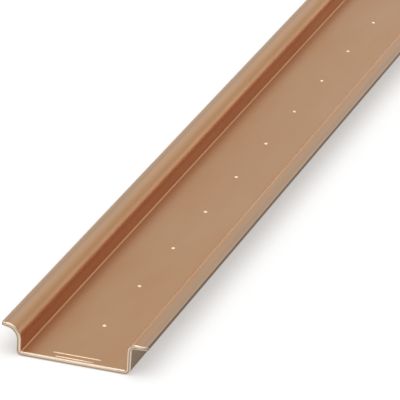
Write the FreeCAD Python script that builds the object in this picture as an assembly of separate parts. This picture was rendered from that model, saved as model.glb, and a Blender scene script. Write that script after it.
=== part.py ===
import FreeCAD, Part
import math
import os
from FreeCAD import Vector

# Top-hat mounting rail, 35 mm wide and 7.5 mm high, formed from one strip of sheet copper.
# Millimetres. X runs across the rail, Y along it and Z up. The origin is under the rail's middle.

# The section
RAIL_WIDTH = 35.0      # over the tips of the two flanges
CHANNEL_WIDTH = 27.0   # over the outer faces of the two side walls
RAIL_HEIGHT = 7.5      # from the underside of the floor to the top of the flanges
SHEET = 1.0            # thickness of the strip
FLANGE_BEND = 1.2      # inside radius where a flange meets its wall
FLOOR_BEND = 0.5       # inside radius where a wall meets the floor
TIP_TOP = 0.25         # rounded corner on top of each long edge
TIP_UNDER = 0.5        # rounded corner under each long edge, where the strip was slit from above

# The length
RAIL_LENGTH = 1000.0
END_BREAK = 0.15       # bevel round each sheared end

# Drill marks, punched as small cones into the floor along its middle
MARK_PITCH = 25.0
MARK_FROM_FRONT = 21.5  # from the front end to the centre of the first mark
MARK_WIDTH = 1.2        # across the cone at the floor's face
MARK_DEPTH = 0.35

# The front end faces -Y.
FRONT_Y = -RAIL_LENGTH / 2


def right_half():
    """Corners of the right half of the section as (x, z, radius), from the floor's underside.

    The two arcs of a bend share their centre, so the outer one is larger by the sheet's thickness.
    """
    wall_out = CHANNEL_WIDTH / 2
    wall_in = wall_out - SHEET
    tip = RAIL_WIDTH / 2
    flange_under = RAIL_HEIGHT - SHEET
    return [
        (wall_out, 0, FLOOR_BEND + SHEET),
        (wall_out, flange_under, FLANGE_BEND),
        (tip, flange_under, TIP_UNDER),
        (tip, RAIL_HEIGHT, TIP_TOP),
        (wall_in, RAIL_HEIGHT, FLANGE_BEND + SHEET),
        (wall_in, SHEET, FLOOR_BEND),
    ]


def section_corners():
    """The whole section, counter-clockwise seen from the front: the right half, then its mirror."""
    right = right_half()
    left = [(-x, z, radius) for x, z, radius in reversed(right)]
    return right + left


def rounded_outline(corners):
    """A closed wire in the XZ plane with a tangent arc of the given radius at each corner."""
    edges = []
    start = None
    first = None
    count = len(corners)
    for i, (x, z, radius) in enumerate(corners):
        corner = Vector(x, 0, z)
        before = Vector(corners[i - 1][0], 0, corners[i - 1][1]) - corner
        after = Vector(corners[(i + 1) % count][0], 0, corners[(i + 1) % count][1]) - corner
        before.normalize()
        after.normalize()
        half_angle = before.getAngle(after) / 2
        arc_from = corner + before * (radius / math.tan(half_angle))
        arc_to = corner + after * (radius / math.tan(half_angle))
        inward = (before + after).normalize()
        arc_middle = corner + inward * (radius / math.sin(half_angle) - radius)
        if start is not None:
            edges.append(Part.LineSegment(start, arc_from).toShape())
        else:
            first = arc_from
        edges.append(Part.Arc(arc_from, arc_middle, arc_to).toShape())
        start = arc_to
    edges.append(Part.LineSegment(start, first).toShape())
    return Part.Wire(edges)


def formed_strip():
    """The section drawn along the rail, from the front end to the rear end."""
    outline = rounded_outline(section_corners())
    outline.translate(Vector(0, FRONT_Y, 0))
    return Part.Face(outline).extrude(Vector(0, RAIL_LENGTH, 0))


def bevelled_ends(strip):
    """The strip with the sharp edge of the shears taken off all round both ends."""
    end_edges = [edge for edge in strip.Edges if edge.BoundBox.YLength < END_BREAK]
    return strip.makeChamfer(END_BREAK, end_edges)


def mark_places():
    """Y of each drill mark, as many as have their whole cone inside both ends."""
    room = RAIL_LENGTH - MARK_FROM_FRONT - MARK_WIDTH
    count = math.floor(room / MARK_PITCH) + 1
    return [FRONT_Y + MARK_FROM_FRONT + MARK_PITCH * k for k in range(count)]


def mark_cone(y):
    """The cone that one drill mark takes out, carried on above the floor's face."""
    slope = MARK_WIDTH / 2 / MARK_DEPTH
    height = 2 * MARK_DEPTH
    return Part.makeCone(0, slope * height, height, Vector(0, y, SHEET - MARK_DEPTH))


def rail():
    strip = bevelled_ends(formed_strip())
    return strip.cut([mark_cone(y) for y in mark_places()])


def main():
    os.makedirs("parts", exist_ok=True)
    solid = rail().Solids[0]
    solid.exportStep("parts/rail.step")
    box = solid.BoundBox
    print("rail", round(box.XLength, 3), round(box.YLength, 3), round(box.ZLength, 3), "mm")
    print("volume", round(solid.Volume, 1), "mm3, valid", solid.isValid(), "marks", len(mark_places()))


main()
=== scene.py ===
import math

import bmesh
import bpy
from mathutils import Matrix, Vector


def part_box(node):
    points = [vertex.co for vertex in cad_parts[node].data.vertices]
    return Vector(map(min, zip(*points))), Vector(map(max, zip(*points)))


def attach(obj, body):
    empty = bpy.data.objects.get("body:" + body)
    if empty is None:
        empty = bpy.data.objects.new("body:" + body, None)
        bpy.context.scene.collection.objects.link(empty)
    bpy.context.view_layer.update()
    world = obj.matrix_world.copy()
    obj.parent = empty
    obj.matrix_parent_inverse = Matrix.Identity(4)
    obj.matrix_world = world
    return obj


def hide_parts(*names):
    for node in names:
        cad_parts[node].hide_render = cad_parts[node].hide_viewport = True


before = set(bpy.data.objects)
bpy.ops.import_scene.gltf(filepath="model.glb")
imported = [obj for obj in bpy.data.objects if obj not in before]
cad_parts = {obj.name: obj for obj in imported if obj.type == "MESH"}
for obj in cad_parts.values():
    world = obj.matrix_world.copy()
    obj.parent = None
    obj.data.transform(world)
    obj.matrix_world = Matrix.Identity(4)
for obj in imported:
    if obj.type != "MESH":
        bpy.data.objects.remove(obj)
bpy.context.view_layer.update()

# One metre of copper top-hat rail. Metres, in the frame of the CAD model: X across the rail,
# Y along it with the front end at the low side, Z up from the underside.

LOW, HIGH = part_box("rail")
FRONT = LOW[1]
REAR = HIGH[1]
MM = 0.001
# Places closer together than this count as one
SAME_PLACE = MM / 100
# A normal that points up at least this much belongs to a flat
FLAT_UP = 0.99

# The section, as in the CAD model apart from the radii of its bends and tips
HALF_WIDTH = HIGH[0]
HEIGHT = HIGH[2]
WALL_OUT = 13.5 * MM
SHEET = 1.0 * MM
FLOOR_BEND = 0.4 * MM
# Inside radius of each flange's bend and the rounding of its tip, on top and under it. The left
# flange was rolled over rounder than the right one, and the CAD model has one radius for both.
RIGHT_FLANGE = (0.8 * MM, 0.35 * MM, 0.4 * MM)
LEFT_FLANGE = (2.8 * MM, 0.6 * MM, 0.3 * MM)
# The flanges' four corners are broken round in plan, over this length of the rail
CORNER_ROUND = 1.3 * MM
CORNER_REACH = 6.0 * MM
# The shears roll the ends over on the channel's side and leave them sharper below
END_ROUND_TOP = 0.5 * MM
END_ROUND_UNDER = 0.15 * MM
# How far the rolls have dished each flange's top between its tip and its bend
FLANGE_DISH = 0.07 * MM

# The drill marks, each in a square cell of the floor
MARK_PITCH = 25.0 * MM
MARK_FROM_FRONT = 21.5 * MM
MARK_HALF_CELL = 1.2 * MM
MARK_TIP = -0.35 * MM
# Radius and height in millimetres of each ring, from the tip out over the lip of pushed-up metal
MARK_RINGS = [
    (0.06, -0.34),
    (0.12, -0.31),
    (0.5, -0.075),
    (0.56, -0.03),
    (0.62, 0.012),
    (0.7, 0.02),
    (0.8, 0.008),
    (0.95, 0.0),
]

# Two plain straight grooves pressed into the floor behind the front end, in millimetres: how far
# from the end they lie, and half their length
GROOVES = [(1.2, 4.7), (3.1, 5.9)]
GROOVE_RUN_OUT = 0.35 * MM
# Their profile, as places across them and depths, with two plain slopes
GROOVE_PROFILE = [
    (-0.26, 0.0),
    (-0.22, 0.015),
    (-0.04, 0.125),
    (0.0, 0.13),
    (0.04, 0.125),
    (0.22, 0.015),
    (0.26, 0.0),
]

# How finely the round shapes are divided
ARC_STEPS = 10
TIP_STEPS = 4
END_STEPS = 4
DISH_STEPS = 10
MARK_SIDES = 24


def arc(centre, radius, start, end, steps, side):
    """Points and outward normals round an arc, from one angle to another in degrees."""
    points = []
    for i in range(steps + 1):
        angle = math.radians(start + (end - start) * i / steps)
        out = Vector((math.cos(angle), math.sin(angle)))
        points.append((Vector(centre) + out * radius, out * side))
    return points


def dished_top(tip_x, bend_x):
    """The flange's top from its rounded tip to its bend, dished a little in between."""
    points = []
    for i in range(1, DISH_STEPS):
        share = i / DISH_STEPS
        down = FLANGE_DISH * math.sin(math.pi * share) ** 2
        points.append((Vector((tip_x + (bend_x - tip_x) * share, HEIGHT - down)), Vector((0, 1))))
    return points


def half_section(bend, top_round, under_round):
    """Points and outward normals of the right half, from its underside to the floor's face."""
    flange_bend = (WALL_OUT + bend, HEIGHT - SHEET - bend)
    floor_bend = (WALL_OUT - SHEET - FLOOR_BEND, SHEET + FLOOR_BEND)
    tip_under = (HALF_WIDTH - under_round, HEIGHT - SHEET + under_round)
    tip_top = (HALF_WIDTH - top_round, HEIGHT - top_round)
    return (
        arc(floor_bend, FLOOR_BEND + SHEET, -90, 0, ARC_STEPS, 1)
        + arc(flange_bend, bend, 180, 90, ARC_STEPS, -1)
        + arc(tip_under, under_round, -90, 0, TIP_STEPS, 1)
        + arc(tip_top, top_round, 0, 90, TIP_STEPS, 1)
        + dished_top(tip_top[0], flange_bend[0])
        + arc(flange_bend, bend + SHEET, 90, 180, ARC_STEPS, 1)
        + arc(floor_bend, FLOOR_BEND, 0, -90, ARC_STEPS, -1)
    )


def mirrored(half):
    """The same points on the other side, in the opposite order."""
    other = []
    for point, normal in reversed(half):
        other.append((Vector((-point.x, point.y)), Vector((-normal.x, normal.y))))
    return other


def floor_columns():
    """Places across the floor's face, from right to left, where its grid needs a line."""
    half = {MARK_HALF_CELL}
    for _, half_length in GROOVES:
        half.update((half_length * MM, half_length * MM - GROOVE_RUN_OUT))
    return sorted((side * x for x in half for side in (1, -1)), reverse=True)


def section():
    """The closed section, counter-clockwise seen from the front, with the floor's columns."""
    floor = [(Vector((x, SHEET)), Vector((0, 1))) for x in floor_columns()]
    return half_section(*RIGHT_FLANGE) + floor + mirrored(half_section(*LEFT_FLANGE))


def end_rounds(count):
    """Radius of the rolled-over edge of the two ends, at each of the section's points."""
    past_tips = 2 * (ARC_STEPS + 1) + 2 * (TIP_STEPS + 1)
    rounds = []
    for i in range(count):
        from_middle = min(i, count - 1 - i)
        share = min(max((from_middle - past_tips) / (DISH_STEPS / 2), 0.0), 1.0)
        rounds.append(END_ROUND_UNDER + (END_ROUND_TOP - END_ROUND_UNDER) * share)
    return rounds


def mark_places():
    """Y of each drill mark, as many as have their whole cell inside both ends."""
    room = REAR - FRONT - MARK_FROM_FRONT - MARK_HALF_CELL
    return [FRONT + MARK_FROM_FRONT + MARK_PITCH * k for k in range(int(room / MARK_PITCH) + 1)]


def stations():
    """Places along the rail as (y, end, turn): the end's side, 0 between the ends, and how far
    round the end's edge."""
    turns = [math.radians(90 * i / END_STEPS) for i in range(END_STEPS + 1)]
    front = [(FRONT, -1, turn) for turn in turns]
    rear = [(REAR, 1, turn) for turn in reversed(turns)]
    between = []
    for from_end, _ in GROOVES:
        between += [FRONT + (from_end + across) * MM for across, _ in GROOVE_PROFILE]
    for y in mark_places():
        between += [y - MARK_HALF_CELL, y + MARK_HALF_CELL]
    return front + [(y, 0, 0.0) for y in between] + rear


def rounded_corner(x, y):
    """Y of a point after the corner of its flange is rounded back from the end."""
    past = abs(x) - (HALF_WIDTH - CORNER_ROUND)
    if past <= 0:
        return y
    back = CORNER_ROUND - math.sqrt(max(CORNER_ROUND ** 2 - past ** 2, 0.0))
    at_front = max(1 - (y - FRONT) / CORNER_REACH, 0.0)
    at_rear = max(1 - (REAR - y) / CORNER_REACH, 0.0)
    return y + back * (at_front - at_rear)


def groove_depth(x, y):
    """How far the floor's face is pressed down at one place."""
    for from_end, half_length in GROOVES:
        for across, depth in GROOVE_PROFILE:
            if abs(y - FRONT - (from_end + across) * MM) < SAME_PLACE:
                run = (half_length * MM - abs(x)) / GROOVE_RUN_OUT
                return depth * MM * min(max(run, 0.0), 1.0)
    return 0.0


def on_floor_face(point, normal):
    """Whether a point of the section lies on the floor's upper face."""
    return normal.y > FLAT_UP and abs(point.y - SHEET) < SAME_PLACE


def place_at_end(point, normal, radius, y, end, turn):
    """A point of the section on the rounded edge of one end."""
    drawn_in = point - normal * radius * (1 - math.sin(turn))
    return drawn_in.x, rounded_corner(point.x, y - end * radius * (1 - math.cos(turn))), drawn_in.y


def place_between(point, normal, y):
    """A point of the section between the ends, pressed down where a groove runs."""
    down = groove_depth(point.x, y) if on_floor_face(point, normal) else 0.0
    return point.x, rounded_corner(point.x, y), point.y - down


def add_grid(mesh, outline, places):
    """A line of vertices round the section at each station."""
    rounds = end_rounds(len(outline))
    grid = []
    for y, end, turn in places:
        line = []
        for (point, normal), radius in zip(outline, rounds):
            if end:
                place = place_at_end(point, normal, radius, y, end, turn)
            else:
                place = place_between(point, normal, y)
            line.append(mesh.verts.new(place))
        grid.append(line)
    return grid


def add_ring(mesh, y, radius, height):
    """One ring of a mark, counter-clockwise seen from above, from its far right on."""
    ring = []
    for k in range(MARK_SIDES):
        angle = math.radians(45 + 360 * k / MARK_SIDES)
        x = radius * MM * math.cos(angle)
        along = radius * MM * math.sin(angle)
        ring.append(mesh.verts.new((x, y + along, SHEET + height * MM)))
    return ring


def join_ring_to_cell(mesh, ring, corners):
    """The floor between a mark's outer ring and its square cell."""
    share = MARK_SIDES // 4
    for side in range(4):
        corner = corners[side]
        next_corner = corners[(side + 1) % 4]
        first = side * share
        for k in range(first, first + share):
            near = corner if k - first < share / 2 else next_corner
            mesh.faces.new((ring[k], near, ring[(k + 1) % MARK_SIDES]))
        mesh.faces.new((ring[first + share // 2], corner, next_corner))


def add_mark(mesh, corners, y):
    """One punched mark in the cell that the four corners bound, in order as the rings run."""
    tip = mesh.verts.new((0, y, SHEET + MARK_TIP))
    inner = None
    for radius, height in MARK_RINGS:
        outer = add_ring(mesh, y, radius, height)
        for k in range(MARK_SIDES):
            after = (k + 1) % MARK_SIDES
            if inner is None:
                mesh.faces.new((tip, outer[k], outer[after]))
            else:
                mesh.faces.new((inner[k], outer[k], outer[after], inner[after]))
        inner = outer
    join_ring_to_cell(mesh, inner, corners)


def join_lines(mesh, outline, grid, line, mark):
    """The faces between one line of the grid and the next, with the mark that lies there."""
    for i, (point, normal) in enumerate(outline):
        after = (i + 1) % len(outline)
        corners = (grid[line][i], grid[line][after], grid[line + 1][after], grid[line + 1][i])
        middle_x = (point.x + outline[after][0].x) / 2
        if mark is not None and abs(middle_x) < SAME_PLACE and normal.y > FLAT_UP:
            add_mark(mesh, corners[::-1], mark)
        else:
            mesh.faces.new(corners)


def add_faces(mesh, outline, places, grid):
    """All the faces along the rail, from the front end to the rear end."""
    marks = {round(y / MM, 3): y for y in mark_places()}
    for line in range(len(places) - 1):
        middle_y = (places[line][0] + places[line + 1][0]) / 2
        join_lines(mesh, outline, grid, line, marks.get(round(middle_y / MM, 3)))


def add_caps(mesh, grid):
    """The two cut ends, which take the second material."""
    caps = [mesh.faces.new(list(reversed(grid[0]))), mesh.faces.new(grid[-1])]
    for cap in caps:
        cap.material_index = 1
        cap.normal_update()
    bmesh.ops.triangulate(mesh, faces=caps)


def rail_mesh():
    """The whole rail as one closed mesh."""
    outline = section()
    places = stations()
    mesh = bmesh.new()
    grid = add_grid(mesh, outline, places)
    add_faces(mesh, outline, places, grid)
    add_caps(mesh, grid)
    bmesh.ops.recalc_face_normals(mesh, faces=mesh.faces)
    for face in mesh.faces:
        face.smooth = True
    data = bpy.data.meshes.new("copper_rail")
    mesh.to_mesh(data)
    mesh.free()
    return data


# Sockets of a colour mix: the colour below, the one over it, and what comes out
MIX_BELOW = 6
MIX_OVER = 7
MIX_RESULT = 2
# Middle of every noise before it is spread, and how rough it is
NOISE_MIDDLE = 0.5
NOISE_ROUGHNESS = 0.55


def opaque(colour):
    """A named colour with its fourth number, or a socket as it is."""
    return (*colour, 1.0) if isinstance(colour, tuple) else colour


class Tree:
    """The nodes of a material or of the world, with short ways to add and join them."""

    def __init__(self, owner):
        owner.use_nodes = True
        self.nodes = owner.node_tree.nodes
        self.links = owner.node_tree.links
        self.nodes.clear()

    def add(self, kind):
        return self.nodes.new("ShaderNode" + kind)

    def fill(self, node, inputs):
        """Gives each named or numbered input a plain value, or joins it to another's socket."""
        for name, value in inputs.items():
            if isinstance(value, bpy.types.NodeSocket):
                self.links.new(value, node.inputs[name])
            else:
                node.inputs[name].default_value = value
        return node

    def maths(self, operation, *values):
        node = self.add("Math")
        node.operation = operation
        return self.fill(node, dict(enumerate(values))).outputs["Value"]

    def product(self, first, second):
        return self.maths("MULTIPLY", first, second)

    def total(self, first, *others):
        for other in others:
            first = self.maths("ADD", first, other)
        return first

    def mapped(self, value, start, end, low=0.0, high=1.0, smooth=False):
        """Runs from low, where the value is at its start, to high at its end, and no further."""
        node = self.add("MapRange")
        node.interpolation_type = "SMOOTHSTEP" if smooth else "LINEAR"
        inputs = {"Value": value, "From Min": start, "From Max": end, "To Min": low, "To Max": high}
        return self.fill(node, inputs).outputs["Result"]

    def mix(self, share, below, over):
        """One colour over another, which are named colours or sockets."""
        node = self.add("Mix")
        node.data_type = "RGBA"
        inputs = {"Factor": share, MIX_BELOW: opaque(below), MIX_OVER: opaque(over)}
        return self.fill(node, inputs).outputs[MIX_RESULT]

    def place(self):
        return self.add("TexCoord").outputs["Object"]

    def apart(self, vector):
        """The X, Y and Z of a place or direction."""
        return self.fill(self.add("SeparateXYZ"), {"Vector": vector}).outputs

    def noise(self, place, per_mm, detail, spread):
        """A noise from 0 to 1 with its own fineness along X, Y and Z."""
        fineness = [changes / MM for changes in per_mm]
        stretched = self.fill(self.add("Mapping"), {"Vector": place, "Scale": fineness})
        texture = self.fill(self.add("TexNoise"), {
            "Vector": stretched.outputs["Vector"],
            "Scale": 1.0,
            "Detail": detail,
            "Roughness": NOISE_ROUGHNESS,
        })
        low, high = NOISE_MIDDLE - spread, NOISE_MIDDLE + spread
        return self.mapped(texture.outputs["Fac"], low, high)

    def bump(self, height, strength, distance):
        inputs = {"Height": height, "Strength": strength, "Distance": distance}
        return self.fill(self.add("Bump"), inputs).outputs["Normal"]

    def metal(self, colour, roughness, normal):
        """Plain metal as the material's surface."""
        inputs = {"Base Color": colour, "Metallic": 1.0, "Roughness": roughness, "Normal": normal}
        shader = self.fill(self.add("BsdfPrincipled"), inputs)
        self.fill(self.add("OutputMaterial"), {"Surface": shader.outputs["BSDF"]})

    def looked_at(self):
        """1 where the camera, metal or glass looks at a surface, 0 where it lights another."""
        path = self.add("LightPath").outputs
        seen = self.maths("MAXIMUM", path["Is Camera Ray"], path["Is Glossy Ray"])
        return self.maths("MAXIMUM", seen, path["Is Transmission Ray"])


# Linear colours of the metal
COPPER = (0.74, 0.44, 0.235)
COPPER_WORN = (0.72, 0.45, 0.285)
COPPER_DEEP = (0.69, 0.36, 0.175)
PATINA = (0.58, 0.415, 0.265)
# Painted shade: a dark colour laid over the faces that look outwards or down, and along a line near
# each flange's tip
PAINTED_SHADE = (0.12, 0.088, 0.045)
# Painted shade on the outer faces of the flanges' tips
TIP_SHADE = (0.12, 0.085, 0.06)
# Painted shade: the walls' inner faces darker and redder, as where copper mirrors copper
WALL_SHADE = (0.555, 0.215, 0.09)
# Painted reflection: a deeper orange band on the faces of the bends that turn a little inwards
BEND_REFLECTION = (0.76, 0.415, 0.20)
# Pressed metal: its own paler tone, and a painted highlight on its faces that turn up
PRESSED_PALE_AND_HIGHLIGHT = (0.95, 0.79, 0.63)
ROLLED_EDGE = (0.80, 0.61, 0.465)
SHEARED = (0.43, 0.36, 0.29)
SHEARED_DARK = (0.33, 0.275, 0.22)

# How much of a colour shows where it shows most
CLOUD_SHARE = 0.55
LINE_SHARE = 0.10
GRAIN_SHARE = 0.16
BEND_SHARE = 0.7
SHADE_LINE_SHARE = 0.07
OUTER_SHADE_SHARE = 0.82
UNDER_SHADE_SHARE = 0.45
TIP_SHADE_SHARE = 0.9
# The same, from the least to the most along the noise that breaks it up
PATINA_SHARES = (0.1, 0.6)
WORN_SHARES = (0.55, 1.0)

# Noises of the rolled metal: changes per millimetre along X, Y and Z, detail and spread
ROLLED_NOISES = {
    "lines": ((2.6, 0.012, 2.6), 4, 0.22),
    "fine_lines": ((9.0, 0.05, 9.0), 2, 0.25),
    "clouds": ((0.10, 0.03, 0.10), 3, 0.2),
    "grain": ((3.0, 2.2, 3.0), 2, 0.25),
    "patches": ((0.9, 0.05, 0.9), 4, 0.18),
}
# Noises of the sheared ends
SHEAR_LINES = ((5.0, 1.0, 0.7), 3, 0.22)
SHEAR_GRAIN = ((9.0, 9.0, 9.0), 2, 0.25)

# Distances in from a flange's tip: where the rubbed band starts and is full, the line of painted
# shade and half its width, and where the painted shade on the tip's outer face starts and is full
TIP_WEAR = (3.6 * MM, 1.6 * MM)
SHADE_LINE_IN = 1.2 * MM
SHADE_LINE_HALF = 0.6 * MM
TIP_SHADE_IN = (0.45 * MM, 0.25 * MM)
# Distances in from an end: where the rubbed band and the fresh edge start and are full
END_WEAR = (1.2 * MM, 0.1 * MM)
FRESH_END = (0.6 * MM, 0.35 * MM)
# Depths below the floor's face at which pressed metal starts to show and is full, and how far
# inside the walls it starts to show and is full
PRESSED_DEPTH = (0.03 * MM, 0.06 * MM)
PRESSED_INSIDE = (3.0 * MM, 3.2 * MM)

# How far a face must turn outwards, or inwards below 0, for a look to start and to be full
OUTER_SHADE_TURN = (0.3, 0.9)
TIP_SHADE_TURN = (0.4, 0.7)
BEND_TURN = (-0.1, -0.4)
WALL_TURN = (-0.90, -0.995)
# The same for a face that turns up, or down below 0
UNDER_SHADE_TURN = (-0.2, -0.8)
PRESSED_UP_TURN = (0.2, 0.4)

# Roughness of the rolled metal along its clouds, and what each place adds to it at most
ROLLED_ROUGH = (0.30, 0.35)
FINE_ROUGH = (-0.02, 0.02)
SHADED_FACE_ROUGH = 0.08
WALL_ROUGH = -0.08
BEND_ROUGH = 0.03
PRESSED_ROUGH = 0.27
SHEARED_ROUGH = (0.40, 0.55)

# Relief: how strongly it shows and how deep it is, and the share of the finer noises in it
ROLLED_RELIEF = (0.5, 0.0008 * MM)
SHEARED_RELIEF = (0.6, 0.012 * MM)
FINE_RELIEF = 0.5
GRAIN_RELIEF = 0.35


def inside(limit, distances):
    """Places at two distances inside a limit."""
    return [limit - distance for distance in distances]


def rolled_wear(tree, side, along, clouds):
    """Where the metal is rubbed pale along the flange tips and the two ends."""
    tips = tree.mapped(side, *inside(HALF_WIDTH, TIP_WEAR), smooth=True)
    ends = tree.mapped(along, *inside(REAR, END_WEAR), smooth=True)
    broken = tree.mapped(clouds, 0.0, 1.0, *WORN_SHARES)
    return {"tips": tips, "worn": tree.product(tree.maths("MAXIMUM", tips, ends), broken)}


def rolled_faces(tree, outward, upward):
    """Painted shade on the walls' inner faces, a painted reflection on the flange bends, and painted
    shade, a little rougher, on what looks out or down.
    """
    # Painted shade on the faces that look outwards or down
    outer_shade = tree.mapped(outward, *OUTER_SHADE_TURN, smooth=True)
    under_shade = tree.mapped(upward, *UNDER_SHADE_TURN, 0.0, UNDER_SHADE_SHARE, smooth=True)
    wall = tree.mapped(outward, *WALL_TURN, smooth=True)
    bend = tree.maths("SUBTRACT", tree.mapped(outward, *BEND_TURN), wall)
    return {"face_shade": tree.maths("MAXIMUM", outer_shade, under_shade), "wall": wall, "bend": bend}


def rolled_traces(tree, side, along, height, outward, upward):
    """Painted shade along a line near each tip and on the tips' outer faces, the paler ends the
    shears left, and the metal the punch pressed down, paler and with a painted highlight where it
    faces up.
    """
    # A line of painted shade along each flange near its tip
    off_line = tree.maths("ABSOLUTE", tree.maths("SUBTRACT", side, HALF_WIDTH - SHADE_LINE_IN))
    # Painted shade on the outer faces of the flanges' tips
    slit = tree.product(
        tree.mapped(outward, *TIP_SHADE_TURN),
        tree.mapped(side, *inside(HALF_WIDTH, TIP_SHADE_IN)),
    )
    deep = tree.mapped(height, *inside(SHEET, PRESSED_DEPTH))
    on_floor = tree.mapped(side, *inside(WALL_OUT, PRESSED_INSIDE))
    return {
        "shaded_line": tree.mapped(off_line, SHADE_LINE_HALF, 0.0, 0.0, SHADE_LINE_SHARE, smooth=True),
        "slit": slit,
        "fresh_end": tree.mapped(along, *inside(REAR, FRESH_END)),
        "pressed": tree.product(
            tree.product(deep, on_floor),
            tree.mapped(upward, *PRESSED_UP_TURN),
        ),
    }


def rolled_masks(tree, place, clouds):
    """Where each look of the rolled metal shows, from 0 to 1."""
    at = tree.apart(place)
    normal = tree.apart(tree.add("NewGeometry").outputs["Normal"])
    side = tree.maths("ABSOLUTE", at["X"])
    along = tree.maths("ABSOLUTE", at["Y"])
    outward = tree.product(normal["X"], tree.maths("SIGN", at["X"]))
    return {
        **rolled_wear(tree, side, along, clouds),
        **rolled_faces(tree, outward, normal["Z"]),
        **rolled_traces(tree, side, along, at["Z"], outward, normal["Z"]),
    }


def rolled_colour(tree, noises, masks):
    """The metal's colour, one layer over another."""
    patina = tree.product(masks["tips"], tree.mapped(noises["patches"], 0.0, 1.0, *PATINA_SHARES))
    layers = [
        (tree.product(noises["clouds"], CLOUD_SHARE), COPPER_DEEP),
        (tree.product(noises["lines"], LINE_SHARE), COPPER_WORN),
        (tree.product(noises["grain"], GRAIN_SHARE), COPPER_DEEP),
        # Painted shade on the walls' inner faces
        (masks["wall"], WALL_SHADE),
        # Painted reflection on the bends
        (tree.product(masks["bend"], BEND_SHARE), BEND_REFLECTION),
        (masks["worn"], COPPER_WORN),
        (patina, PATINA),
        # A line of painted shade along each flange near its tip
        (masks["shaded_line"], PAINTED_SHADE),
        # Painted shade on the faces that look outwards or down
        (tree.product(masks["face_shade"], OUTER_SHADE_SHARE), PAINTED_SHADE),
        # Painted shade on the tips' outer faces
        (tree.product(masks["slit"], TIP_SHADE_SHARE), TIP_SHADE),
        (masks["fresh_end"], ROLLED_EDGE),
        # Pressed metal: its own paler tone, and a painted highlight where it faces up
        (masks["pressed"], PRESSED_PALE_AND_HIGHLIGHT),
    ]
    colour = COPPER
    for share, layer in layers:
        colour = tree.mix(share, colour, layer)
    return colour


def rolled_roughness(tree, noises, masks):
    return tree.total(
        tree.mapped(noises["clouds"], 0.0, 1.0, *ROLLED_ROUGH),
        tree.mapped(noises["fine_lines"], 0.0, 1.0, *FINE_ROUGH),
        tree.product(masks["face_shade"], SHADED_FACE_ROUGH),
        tree.product(masks["wall"], WALL_ROUGH),
        tree.product(masks["bend"], BEND_ROUGH),
        tree.product(masks["pressed"], PRESSED_ROUGH),
    )


def rolled_copper():
    """Satin copper as rolled: faint lines along the rail, clouding, paler rubbed edges, with painted
    shade on its walls, tips and outer faces, a painted reflection on its bends and a painted
    highlight in its pressed marks.
    """
    material = bpy.data.materials.new("rolled_copper")
    tree = Tree(material)
    place = tree.place()
    noises = {name: tree.noise(place, *values) for name, values in ROLLED_NOISES.items()}
    masks = rolled_masks(tree, place, noises["clouds"])
    relief = tree.total(
        noises["lines"],
        tree.product(noises["fine_lines"], FINE_RELIEF),
        tree.product(noises["grain"], GRAIN_RELIEF),
    )
    tree.metal(
        rolled_colour(tree, noises, masks),
        rolled_roughness(tree, noises, masks),
        tree.bump(relief, *ROLLED_RELIEF),
    )
    return material


def sheared_copper():
    """The bare face left by the shears: paler, with fine lines through the sheet's thickness."""
    material = bpy.data.materials.new("sheared_copper")
    tree = Tree(material)
    place = tree.place()
    lines = tree.noise(place, *SHEAR_LINES)
    grain = tree.noise(place, *SHEAR_GRAIN)
    both = tree.product(tree.total(lines, grain), 0.5)
    tree.metal(
        tree.mix(both, SHEARED, SHEARED_DARK),
        tree.mapped(both, 0.0, 1.0, *SHEARED_ROUGH),
        tree.bump(both, *SHEARED_RELIEF),
    )
    return material


# Wide flats keep their own normal where the bends run into them
FLAT_WEIGHT = 100


def make_rail():
    rail = bpy.data.objects.new("copper_rail", rail_mesh())
    bpy.context.scene.collection.objects.link(rail)
    rail.data.materials.append(rolled_copper())
    rail.data.materials.append(sheared_copper())
    smooth = rail.modifiers.new("even_shading", "WEIGHTED_NORMAL")
    smooth.weight = FLAT_WEIGHT
    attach(rail, "root")
    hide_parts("rail")


FLOOR_SIZE = 30.0
FLOOR_DROP = 0.02 * MM
FLOOR_WHITE = 0.66
# Paleness that the floor shows of itself where the camera or the metal looks at it
FLOOR_GLOW = 0.43


def studio_white():
    """A matt white that looks paler than the light it gives back."""
    material = bpy.data.materials.new("studio_white")
    tree = Tree(material)
    white = (FLOOR_WHITE, FLOOR_WHITE, FLOOR_WHITE, 1.0)
    shader = tree.fill(tree.add("BsdfDiffuse"), {"Color": white})
    glow = tree.fill(tree.add("Emission"), {"Strength": tree.product(tree.looked_at(), FLOOR_GLOW)})
    both = tree.fill(tree.add("AddShader"), {0: shader.outputs["BSDF"], 1: glow.outputs["Emission"]})
    tree.fill(tree.add("OutputMaterial"), {"Surface": both.outputs["Shader"]})
    return material


def make_floor():
    """A plain studio floor just under the rail."""
    mesh = bmesh.new()
    bmesh.ops.create_grid(mesh, x_segments=1, y_segments=1, size=FLOOR_SIZE / 2)
    data = bpy.data.meshes.new("studio_floor")
    mesh.to_mesh(data)
    mesh.free()
    data.materials.append(studio_white())
    floor = bpy.data.objects.new("studio_floor", data)
    floor.location.z = -FLOOR_DROP
    bpy.context.scene.collection.objects.link(floor)


# The studio's light. Azimuth 0 is the front end's side (-Y), 90 is +X and 180 is behind the rail.
# Elevation is above the floor. Both are in degrees, as are widths and angles.
DOME_LEVEL = 0.37
# Elevations up to which the dome looks white, and at which it has come down to its level
DOME_FOOT = (4, 10)
# Soft brighter parts of the dome: azimuth, elevation, angle where full and where ended, gain
DOME_GLOWS = [
    (205, 14, 6, 40, 0.225),
    (172, 28, 3, 22, 0.30),
    (150, 3, 3, 20, 0.25),
    (0, 25, 10, 75, 0.16),
]
# A soft lamp far above: azimuth, elevation, width as seen from the rail, strength
OVERHEAD = (0, 86, 70, 1.5)


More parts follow.
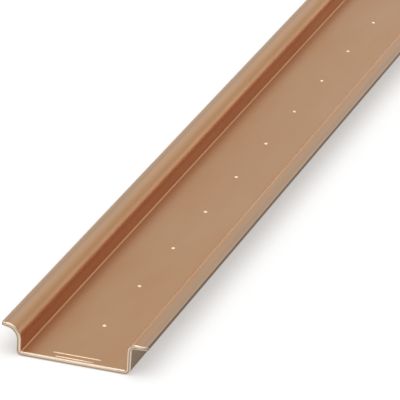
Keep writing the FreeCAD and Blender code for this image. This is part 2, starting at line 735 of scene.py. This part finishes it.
def towards(azimuth, elevation):
    """The direction of a place in the studio, seen from the rail."""
    turn = math.radians(azimuth)
    rise = math.radians(elevation)
    return Vector((
        math.sin(turn) * math.cos(rise),
        -math.cos(turn) * math.cos(rise),
        math.sin(rise),
    ))


def dome_glow(tree, direction, azimuth, elevation, full, end, gain):
    """One soft brighter part of the dome."""
    node = tree.add("VectorMath")
    node.operation = "DOT_PRODUCT"
    near = tree.fill(node, {0: direction, 1: towards(azimuth, elevation)}).outputs["Value"]
    start, stop = math.cos(math.radians(end)), math.cos(math.radians(full))
    return tree.mapped(near, start, stop, 0.0, gain, smooth=True)


def make_world():
    """A soft dome with its glows, which looks white at its foot, where it meets the floor."""
    world = bpy.data.worlds.new("studio")
    tree = Tree(world)
    direction = tree.add("TexCoord").outputs["Generated"]
    foot = [math.sin(math.radians(elevation)) for elevation in DOME_FOOT]
    white = tree.mapped(tree.apart(direction)["Z"], *foot, 1.0 - DOME_LEVEL, 0.0, smooth=True)
    glows = [dome_glow(tree, direction, *glow) for glow in DOME_GLOWS]
    level = tree.total(tree.product(white, tree.looked_at()), DOME_LEVEL, *glows)
    dome = tree.fill(tree.add("Background"), {"Color": (1.0, 1.0, 1.0, 1.0), "Strength": level})
    tree.fill(tree.add("OutputWorld"), {"Surface": dome.outputs["Background"]})
    bpy.context.scene.world = world


def make_lamp():
    azimuth, elevation, width, strength = OVERHEAD
    data = bpy.data.lights.new("overhead", "SUN")
    data.energy = strength
    data.angle = math.radians(width)
    lamp = bpy.data.objects.new("overhead", data)
    lamp.rotation_mode = "QUATERNION"
    lamp.rotation_quaternion = towards(azimuth, elevation).to_track_quat("Z", "Y")
    bpy.context.scene.collection.objects.link(lamp)


# Camera: where it stands, the point of the rail's underside plane in the middle of the picture,
# its roll in degrees, and the long lens in pixels of the picture, with the sensor in millimetres
CAMERA_AT = Vector((277.8, -1328.6, 395.9)) * MM
LOOK_AT = Vector((-4.3, -394.4, 0.0)) * MM
CAMERA_ROLL = 3.13
LENS_PIXELS = 4287
PICTURE_PIXELS = 400
SENSOR = 36.0
CLIP_NEAR = 0.05
CLIP_FAR = 100.0


def make_camera():
    data = bpy.data.cameras.new("camera")
    data.sensor_width = SENSOR
    data.lens = LENS_PIXELS / PICTURE_PIXELS * SENSOR
    data.clip_start = CLIP_NEAR
    data.clip_end = CLIP_FAR
    camera = bpy.data.objects.new("camera", data)
    aim = (LOOK_AT - CAMERA_AT).to_track_quat("-Z", "Y").to_matrix().to_4x4()
    roll = Matrix.Rotation(math.radians(CAMERA_ROLL), 4, "Z")
    camera.matrix_world = Matrix.Translation(CAMERA_AT) @ aim @ roll
    bpy.context.scene.collection.objects.link(camera)
    bpy.context.scene.camera = camera


make_rail()
make_floor()
make_world()
make_lamp()
make_camera()
bpy.context.scene.view_settings.view_transform = "Standard"
